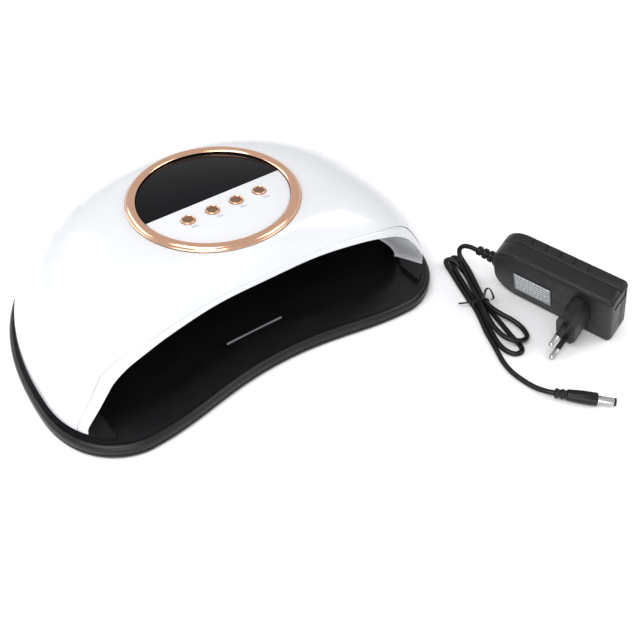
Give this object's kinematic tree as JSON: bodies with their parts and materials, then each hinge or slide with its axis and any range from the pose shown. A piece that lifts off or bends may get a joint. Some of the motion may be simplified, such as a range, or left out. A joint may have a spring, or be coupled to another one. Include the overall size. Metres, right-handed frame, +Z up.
{
  "type": "nail lamp",
  "caption": "Two-hand UV LED nail lamp: white dome with a round control panel and a wide hand opening on a black base, with its power adapter and tied cord beside it.",
  "frame": {"origin": "centre of the lamp's footprint, on the table", "axes": "+X along the lamp's width to the adapter's side, -Y out of the hand opening, +Z up"},
  "size_m": [0.3621, 0.3764, 0.0997],
  "materials": {
    "white_gloss": "gloss",
    "black_plastic": "satin",
    "black_glass": "high gloss",
    "rose_gold": "polished rose gold plating",
    "steel": "plain",
    "nickel": "nickel plated",
    "rubber": "matte",
    "adapter_plastic": "fine satin",
    "cord": "satin",
    "label": "silver foil print",
    "led_board": "white solder mask with violet lenses",
    "circuit_board": "solder mask",
    "copper": "enamelled winding"
  },
  "bodies": {
    "base": {"base_tray": "black_plastic", "base_plate": "black_plastic", "strike_plate_left": "steel", "strike_plate_right": "steel", "rubber_foot_1": "rubber", "rubber_foot_2": "rubber", "rubber_foot_3": "rubber", "rubber_foot_4": "rubber", "plate_screw_1": "steel", "plate_screw_2": "steel", "plate_screw_3": "steel", "plate_screw_4": "steel", "adapter_case_front": "adapter_plastic", "adapter_case_back": "adapter_plastic", "plug_block": "adapter_plastic", "pin_sleeve_1": "adapter_plastic", "plug_pin_1": "nickel", "pin_sleeve_2": "adapter_plastic", "plug_pin_2": "nickel", "rating_label": "label", "adapter_board": "circuit_board", "adapter_transformer": "copper", "adapter_capacitor": "nickel", "strain_relief": "cord", "cord_lead": "cord", "cord_hank": "cord", "cord_tie": "cord", "cord_tail": "cord", "dc_plug_housing": "cord", "dc_plug_barrel": "nickel", "dc_plug_tip": "adapter_plastic"},
    "head": {"outer_shell": "white_gloss", "front_bezel": "white_gloss", "inner_liner": "black_plastic", "head_frame": "black_plastic", "head_magnet_left": "steel", "head_magnet_right": "steel", "led_board_top": "led_board", "led_board_right": "led_board", "led_board_left": "led_board", "led_board_back": "led_board", "display_ring": "rose_gold", "display_window": "black_glass", "button_panel": "white_gloss", "display_housing": "black_plastic", "control_board": "circuit_board", "digit_display": "black_glass", "tact_switch_1": "steel", "tact_switch_2": "steel", "tact_switch_3": "steel", "tact_switch_4": "steel", "hand_sensor": "black_glass", "dc_jack": "black_plastic", "power_wires": "copper"},
    "button_1": {"button_1": "rose_gold"},
    "button_2": {"button_2": "rose_gold"},
    "button_3": {"button_3": "rose_gold"},
    "button_4": {"button_4": "rose_gold"}
  },
  "joints": [
    {"name": "head_lift", "type": "slide", "parent": "base", "child": "head", "axis": [0, 0, 1], "range_m": [0, 0.06]},
    {"name": "button_1_press", "type": "slide", "parent": "head", "child": "button_1", "axis": [0, 0, -1], "range_m": [0, 0.0006], "stiffness_N_per_m": 400},
    {"name": "button_2_press", "type": "slide", "parent": "head", "child": "button_2", "axis": [0, 0, -1], "range_m": [0, 0.0006], "stiffness_N_per_m": 400},
    {"name": "button_3_press", "type": "slide", "parent": "head", "child": "button_3", "axis": [0, 0, -1], "range_m": [0, 0.0006], "stiffness_N_per_m": 400},
    {"name": "button_4_press", "type": "slide", "parent": "head", "child": "button_4", "axis": [0, 0, -1], "range_m": [0, 0.0006], "stiffness_N_per_m": 400}
  ]
}
